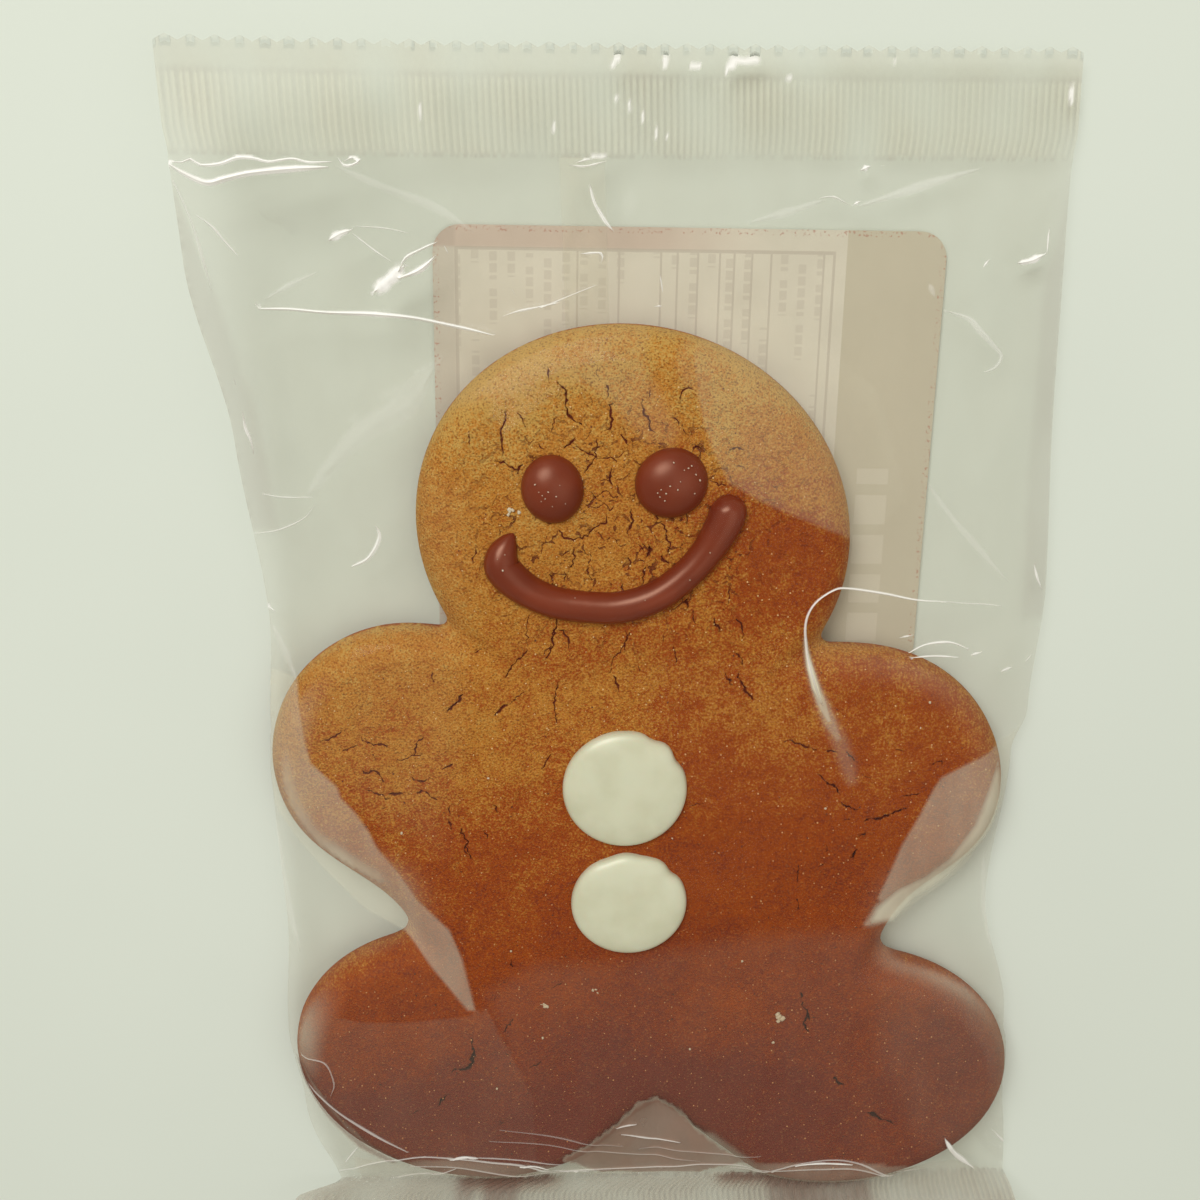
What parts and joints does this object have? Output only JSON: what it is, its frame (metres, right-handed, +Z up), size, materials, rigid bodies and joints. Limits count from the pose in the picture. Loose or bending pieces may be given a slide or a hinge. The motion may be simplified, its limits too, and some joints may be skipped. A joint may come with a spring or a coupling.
{
  "type": "gingerbread man cookie in a clear flow-wrap bag",
  "caption": "Gingerbread man with icing eyes, smile and buttons, sealed in a clear film bag with crimped zigzag end seals and a paper label on its back, lying face up.",
  "frame": {"origin": "middle of the pack's footprint, on the surface that it lies on", "axes": "+Y towards the head-end seal, +X to the right of the face as it is looked at, +Z up out of the face"},
  "size_m": [0.126, 0.1944, 0.0181],
  "materials": {
    "film": "clear glossy packing film",
    "label_paper": "matte coated paper",
    "gingerbread": "dry baked crumb, matte",
    "brown_icing": "set cocoa icing, satin",
    "white_icing": "set sugar icing, satin"
  },
  "bodies": {
    "root": {"bag": "film", "label": "label_paper"}
  },
  "joints": []
}
